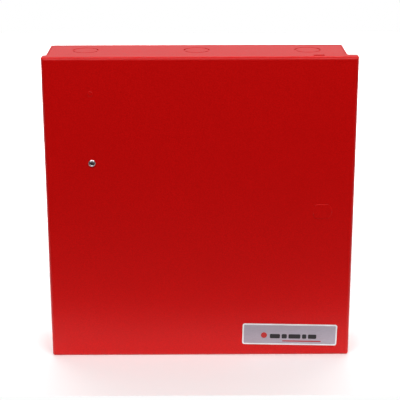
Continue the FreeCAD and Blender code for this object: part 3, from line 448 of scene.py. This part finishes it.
def make_nameplate():
    """A brushed plate with a raised pale border and a plain device: a red dot, dark dashes and a red line."""
    low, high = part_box("nameplate")
    centre = ((low.x + high.x) / 2, DOOR_FACE, (low.z + high.z) / 2)
    width, height, corner, turn = 0.105, 0.025, 0.0025, 1.25
    border = 0.0016
    # places along Y from the face of the door, the front one last
    edge, sunk, face, ink, shoulder, crest = -0.00055, -0.0006, -0.00068, -0.00073, -0.00078, -0.0009

    plate = bmesh.new()
    tube(plate, [rounded_loop(width, height, corner, 0),
                 rounded_loop(width, height, corner, edge),
                 rounded_loop(width - 0.0004, height - 0.0004, corner - 0.0002, face)])
    tilted(plate, centre, turn)
    back = piece("nameplate_plate", plate, "door_panel", [MATERIALS["plate_metal"]])
    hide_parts("nameplate")

    rim = bmesh.new()
    inner_w, inner_h, inner_corner = width - 2 * border, height - 2 * border, corner - 0.0012
    tube(rim, [rounded_loop(width - 0.0002, height - 0.0002, corner - 0.0001, sunk),
               rounded_loop(width - 0.0002, height - 0.0002, corner - 0.0001, shoulder),
               rounded_loop(width - 0.0006, height - 0.0006, corner - 0.0003, crest),
               rounded_loop(inner_w + 0.0004, inner_h + 0.0004, inner_corner + 0.0002, crest),
               rounded_loop(inner_w, inner_h, inner_corner, shoulder),
               rounded_loop(inner_w, inner_h, inner_corner, sunk)], closed=True)
    tilted(rim, centre, turn)
    piece("nameplate_border", rim, "door_panel", [LABEL_WHITE])

    device = bmesh.new()
    dot, dash_height, dash_gap = 0.0034, 0.0052, 0.0006
    tube(device, [circle(dot, sunk), circle(dot, ink), circle(0, ink)], (-0.0285, 0, -0.0012))
    start = -0.0225
    for long in (0.0125, 0.0070, 0.0145, 0.0060, 0.0105):
        dash = [rounded_loop(long - 2 * dash_gap, dash_height, 0.0012, depth) for depth in (sunk, ink)]
        tube(device, dash, (start + long / 2, 0, -0.0022), material=1)
        start += long + dash_gap
    line = [rounded_loop(0.043, 0.0013, 0.0006, depth) for depth in (sunk, ink)]
    tube(device, line, (0.0135, 0, -0.0078))
    tilted(device, centre, turn)
    piece("nameplate_device", device, "door_panel", [LABEL_RED, LABEL_DARK])


# --- Details inside the cabinet ---

def make_capacitors():
    """Sleeved cans with a rolled neck, and a bare top with a vent cross drawn as dark strips, painted shade
    for its pressed grooves.
    """
    neck, rim = 0.0006, 0.0016
    bm = bmesh.new()
    for low, high in solids("capacitors"):
        centre = middle_of((low, high))
        radius = (high.x - low.x) / 2
        top = low.y - centre.y
        base = high.y - centre.y
        sleeve = [(radius * 0.9, base), (radius, base - neck), (radius, base - 0.0036),
                  (radius - neck, base - 0.0046), (radius - neck, base - 0.0052), (radius, base - 0.0062),
                  (radius, top + 0.0008), (radius - neck, top), (radius - rim, top),
                  (radius - rim - 0.0001, top + 0.0003)]
        lid = [(radius - rim, top + 0.0002), (radius - rim - 0.0002, top + 0.0001), (0, top + 0.0001)]
        tube(bm, [circle(*ring) for ring in sleeve], centre)
        tube(bm, [circle(*ring) for ring in lid], centre, material=1)
        for angle in (0, 60, 120):
            across = Matrix.Rotation(math.radians(angle), 4, "Y")
            # the vent cross: thin dark grey strips just proud of the lid, painted shade standing for its
            # pressed grooves
            painted_groove_shade = [[across @ point for point in rounded_loop(radius * 1.24, 0.0004, 0.0001, depth, 2)]
                     for depth in (top + 0.0002, top - 0.00002)]
            tube(bm, painted_groove_shade, centre, material=2)
    cans = piece("capacitor_cans", bm, "cabinet",
                 [MATERIALS["can_sleeve"], CAN_TOP, LABEL_GREY])
    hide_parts("capacitors")


def make_chip_legs():
    """Tinned legs along the sides of each chip, and a round mark near its first leg."""
    pitch, half_leg, reach, tall = 0.00127, 0.0002, 0.0011, 0.0009
    bm = bmesh.new()
    face_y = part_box("main_board")[0].y
    for low, high in solids("board_chips"):
        wide, long = high.x - low.x, high.z - low.z
        square = abs(wide - long) < 0.001
        sides = []
        if long > wide or square:
            sides.append(("x", low.z, high.z))
        if wide > long or square:
            sides.append(("z", low.x, high.x))
        for axis, start, end in sides:
            count = int((end - start - 0.001) / pitch)
            first = (start + end) / 2 - (count - 1) * pitch / 2
            for i in range(count):
                place = first + i * pitch
                for edge, out in ((low, -1), (high, 1)):
                    across = edge.x if axis == "x" else edge.z
                    span = (sorted((across, across + out * reach)), (place - half_leg, place + half_leg))
                    xs, zs = span if axis == "x" else span[::-1]
                    slab(bm, (xs[0], face_y - tall, zs[0]), (xs[1], face_y, zs[1]), 0.00008)
        tube(bm, [circle(0.0005, 0, 12), circle(0.0004, -0.00006, 12), circle(0, -0.00006, 12)],
             (low.x + 0.0014, low.y, high.z - 0.0014), material=1)
    piece("chip_legs", bm, "cabinet", [MATERIALS["steel_bright"], LABEL_GREY])


def board_obstacles():
    """The outlines of everything that stands on the board."""
    standing = ["capacitors", "heat_sink", "regulator", "sounder", "relays", "board_chips", "fuse_clips",
                "fuse_caps", "plug_headers", "zone_terminals", "output_terminals", "power_lamp",
                "alarm_lamps", "trouble_lamps", "button_switches", "board_screws", "display_spacers"]
    return [box for node in standing for box in solids(node)]


# half length, half width, height and material of each kind of small part
SMALL_PARTS = {"resistor": (0.0010, 0.0006, 0.0005, 0), "ceramic": (0.0010, 0.0007, 0.0009, 1)}


def make_small_part(bm, kind, x, face_y, z, upright):
    """One chip resistor or ceramic capacitor, with a tinned cap over each end."""
    half_x, half_z, tall, ink = SMALL_PARTS[kind]
    if upright:
        half_x, half_z = half_z, half_x
    slab(bm, (x - half_x, face_y - tall, z - half_z), (x + half_x, face_y, z + half_z), 0.00008, ink)
    half_cap, proud = 0.00022, 0.00004
    for end in (-1, 1):
        if upright:
            cap_x, cap_z, reach_x, reach_z = x, z + end * half_z, half_x + proud, half_cap
        else:
            cap_x, cap_z, reach_x, reach_z = x + end * half_x, z, half_cap, half_z + proud
        slab(bm, (cap_x - reach_x, face_y - tall - proud, cap_z - reach_z),
             (cap_x + reach_x, face_y, cap_z + reach_z), 0.00006, 2)


def make_small_parts():
    """Rows of small resistors and ceramic capacitors, and bare test pads, on the free parts of the board."""
    steps = (0.0036, 0.0042, 0.0042, 0.0084)
    kinds = ("resistor", "resistor", "ceramic", "pad", "none")
    row_pitch, keep_out = 0.0058, 0.0032
    board_low, board_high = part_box("main_board")
    face_y = board_low.y
    blocked = board_obstacles()
    chooser = random.Random(7)
    bm = bmesh.new()
    row = board_low.z + 0.017
    while row < board_high.z - 0.006:
        x = board_low.x + 0.008
        while x < board_high.x - 0.008:
            x += chooser.choice(steps)
            kind = chooser.choice(kinds)
            near = any(low.x - keep_out < x < high.x + keep_out and low.z - keep_out < row < high.z + keep_out
                       for low, high in blocked)
            if near or kind == "none":
                continue
            if kind == "pad":
                tube(bm, [circle(0.0006, 0, 16), circle(0.0005, -0.00008, 16), circle(0, -0.00004, 16)],
                     (x, face_y, row), material=2)
            else:
                make_small_part(bm, kind, x, face_y, row, upright=chooser.random() < 0.5)
        row += row_pitch
    piece("board_small_parts", bm, "cabinet",
          [MATERIALS["black_plastic"], CERAMIC, MATERIALS["steel_bright"]])


def make_board_print():
    """White printed outlines on the board around the parts that stand on it; there is no lettering."""
    proud, stroke = -0.00004, 0.00022
    face_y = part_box("main_board")[0].y
    bm = bmesh.new()
    grown = {"relays": 0.0014, "board_chips": 0.0022, "button_switches": 0.0012, "sounder": 0.0012,
             "heat_sink": 0.0014, "zone_terminals": 0.0012, "output_terminals": 0.0012}
    for node, grow in grown.items():
        for low, high in solids(node):
            centre = middle_of((low, high))
            wide, tall = high.x - low.x + 2 * grow, high.z - low.z + 2 * grow
            corner = wide / 2 - 0.00001 if node == "sounder" else 0.0005
            loops = []
            for inset, depth in ((0, 0.00001), (0, proud), (stroke, proud), (stroke, 0.00001)):
                loops.append(rounded_loop(wide - 2 * inset, tall - 2 * inset, corner - inset, depth, 10))
            tube(bm, loops, (centre.x, face_y, centre.z), closed=True)
    piece("board_print", bm, "cabinet", [LABEL_WHITE])


def make_display_details():
    """The row of header pins along the display board, and the bent tabs that hold its frame."""
    pins, pitch, half_pin, half_strip = 16, 0.00254, 0.0003, 0.0012
    half_tab, tab_reach = 0.002, 0.0022
    low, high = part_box("display_board")
    frame_low, frame_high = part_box("display_frame")
    bm = bmesh.new()
    strip_z = high.z - 0.004
    first = (low.x + high.x) / 2 - (pins - 1) / 2 * pitch
    slab(bm, (first - half_strip, low.y - 0.0025, strip_z - half_strip),
         (first + (pins - 1) * pitch + half_strip, low.y, strip_z + half_strip), 0.0002, 1)
    for i in range(pins):
        x = first + i * pitch
        slab(bm, (x - half_pin, low.y - 0.0048, strip_z - half_pin),
             (x + half_pin, low.y - 0.0002, strip_z + half_pin), 0.0001)
    for x in (frame_low.x + 0.012, (frame_low.x + frame_high.x) / 2, frame_high.x - 0.012):
        for z, out in ((frame_low.z, -1), (frame_high.z, 1)):
            near, far = sorted((z, z + out * tab_reach))
            slab(bm, (x - half_tab, low.y - 0.0008, near), (x + half_tab, low.y, far), 0.0001, 2)
    piece("display_pins_and_tabs", bm, "cabinet",
          [MATERIALS["copper_plated"], MATERIALS["black_plastic"], MATERIALS["zinc_steel"]])


def make_battery_labels():
    """A blank label on the front of each battery, with plain bars, and shallow vertical ribs on its case."""
    # width, height, distance above the middle, height over the case, and ink of the label, band and bars
    print_rows = [(0.086, 0.044, 0, 0.00018, 0), (0.080, 0.009, 0.0145, 0.00024, 1),
                  (0.052, 0.0022, 0.0045, 0.00024, 2), (0.052, 0.0022, -0.0005, 0.00024, 2),
                  (0.038, 0.0022, -0.0055, 0.00024, 2)]
    band_width = print_rows[1][0]
    bm = bmesh.new()
    for side in ("left", "right"):
        low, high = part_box("battery_" + side)
        middle_x = (low.x + high.x) / 2
        for wide, tall, z, front, ink in print_rows:
            x = middle_x - (band_width - wide) / 2 if ink == 2 else middle_x
            loops = [rounded_loop(wide, tall, min(0.002, tall * 0.4), depth) for depth in (0, -front)]
            tube(bm, loops, (x, low.y, low.z + 0.040 + z), material=ink)
        for i in range(7):
            for start in (low.x + 0.007, high.x - 0.025):
                x = start + 0.003 * i
                slab(bm, (x - 0.0006, low.y - 0.0004, low.z + 0.008),
                     (x + 0.0006, low.y + 0.0004, low.z + 0.072), 0.00025, 3)
    piece("battery_labels", bm, "cabinet",
          [LABEL_WHITE, LABEL_GREY, LABEL_DARK, MATERIALS["battery_case"]])


def make_relay_details():
    """A stepped lid and a small vent pip on each relay."""
    step, thick = 0.0008, 0.0003
    bm = bmesh.new()
    for low, high in solids("relays"):
        slab(bm, (low.x + step, low.y - thick, low.z + step),
             (high.x - step, low.y + thick, high.z - step), 0.0002)
        tube(bm, [circle(0.0007, 0, 20), circle(0.0006, -0.0004, 20), circle(0, -0.0004, 20)],
             (high.x - 0.003, low.y - thick, high.z - 0.003))
    piece("relay_lids", bm, "cabinet", [MATERIALS["black_plastic"]])


def make_winding_details():
    """The flanges of the bobbin, which stand out past the tape above and below, and a blank label."""
    flange, half_label_x, half_label_z = 0.0012, 0.011, 0.006
    low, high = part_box("transformer_winding")
    centre = middle_of((low, high))
    core_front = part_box("transformer_core")[0].y
    bm = bmesh.new()
    for z in (low.z + 0.0006, high.z - 0.0018):
        slab(bm, (low.x + 0.0004, low.y - 0.0008, z),
             (high.x - 0.0004, core_front - 0.0002, z + flange), 0.0003)
    slab(bm, (centre.x - half_label_x, low.y - 0.00022, centre.z - half_label_z),
         (centre.x + half_label_x, low.y, centre.z + half_label_z), 0.00005, 1)
    piece("bobbin_flanges", bm, "cabinet", [MATERIALS["black_plastic"], LABEL_WHITE])


# --- Camera, light and floor ---

def make_camera():
    """The camera stands in front of the door and a little above it, and looks slightly down."""
    distance, height, downwards = 1.2514, 0.4213, 18.045
    data = bpy.data.cameras.new("camera")
    data.sensor_width = 36
    data.lens = 110.6
    data.clip_end = 50
    camera = bpy.data.objects.new("camera", data)
    camera.location = (-0.0075, DOOR_FACE - distance, height)
    camera.rotation_euler = (math.radians(90 - downwards), math.radians(0.1), math.radians(-0.361))
    bpy.context.scene.collection.objects.link(camera)
    bpy.context.scene.camera = camera


def make_floor():
    """A white table top that ends in front of the cabinet and runs far back behind it."""
    mesh = bpy.data.meshes.new("floor")
    near, far, half = -0.18, 1.9, 2.4
    corners = [(-half, near), (half, near), (half, far), (-half, far)]
    mesh.from_pydata([(x, y, FLOOR_Z) for x, y in corners], [], [(0, 1, 2, 3)])
    floor = bpy.data.objects.new("floor", mesh)
    material, tree, surface = new_material("floor_white", (0.93, 0.93, 0.93), 0.7)
    tree.links.new(mixed(tree, noise(tree, 3, 2.0), (0.925, 0.925, 0.925), (0.94, 0.94, 0.94)),
                   surface.inputs["Base Color"])
    surface.inputs["Emission Color"].default_value = (1, 1, 1, 1)
    surface.inputs["Emission Strength"].default_value = 0.14
    mesh.materials.append(material)
    bpy.context.scene.collection.objects.link(floor)


def softbox(name, size, location, target, watts, spread=180):
    """A rectangular light that faces its target and isn't itself seen by the camera."""
    data = bpy.data.lights.new(name, "AREA")
    data.spread = math.radians(spread)
    data.shape = "RECTANGLE"
    data.size, data.size_y = size
    data.energy = watts
    light = bpy.data.objects.new(name, data)
    light.location = location
    light.rotation_euler = (Vector(target) - Vector(location)).to_track_quat("-Z", "Y").to_euler()
    light.visible_camera = False
    bpy.context.scene.collection.objects.link(light)


def make_lights():
    """Two softboxes in front, one overhead, a faint glow off the table, and a room that is dark in front."""
    softbox("key", size=(1.4, 1.1), location=(-0.9, -1.5, 1.8), target=(0, -0.08, 0.05), watts=29.5)
    softbox("fill", size=(1.4, 1.1), location=(1.0, -1.5, 1.75), target=(0, -0.08, 0.0), watts=31.2)
    softbox("overhead", size=(4.0, 3.4), location=(0, 2.6, 2.2), target=(0, 2.6, 0), watts=132, spread=90)
    softbox("table_glow", size=(1.0, 0.3), location=(0.08, -0.37, FLOOR_Z), target=(0.08, -0.37, 1),
            watts=0.14)
    world = bpy.data.worlds.new("studio")
    world.use_nodes = True
    tree = world.node_tree
    room = tree.nodes["Background"]
    coordinates = tree.nodes.new("ShaderNodeTexCoord")
    split = tree.nodes.new("ShaderNodeSeparateXYZ")
    tree.links.new(coordinates.outputs["Generated"], split.inputs["Vector"])
    tree.links.new(remap(tree, split.outputs["Y"], 0, 0.60, -0.05, 0.55), room.inputs["Strength"])
    backdrop = tree.nodes.new("ShaderNodeBackground")
    seen = tree.nodes.new("ShaderNodeLightPath")
    either = tree.nodes.new("ShaderNodeMixShader")
    tree.links.new(seen.outputs["Is Camera Ray"], either.inputs["Fac"])
    tree.links.new(room.outputs["Background"], either.inputs[1])
    tree.links.new(backdrop.outputs["Background"], either.inputs[2])
    tree.links.new(either.outputs["Shader"], tree.nodes["World Output"].inputs["Surface"])
    for shader in (room, backdrop):
        shader.inputs["Color"].default_value = (1, 1, 1, 1)
    bpy.context.scene.world = world
    view = bpy.context.scene.view_settings
    view.view_transform = "Standard"
    view.look = "None"


dress_cad_nodes()
make_indicator()
make_nameplate()
make_capacitors()
make_chip_legs()
make_small_parts()
make_board_print()
make_display_details()
make_battery_labels()
make_relay_details()
make_winding_details()
make_camera()
make_floor()
make_lights()
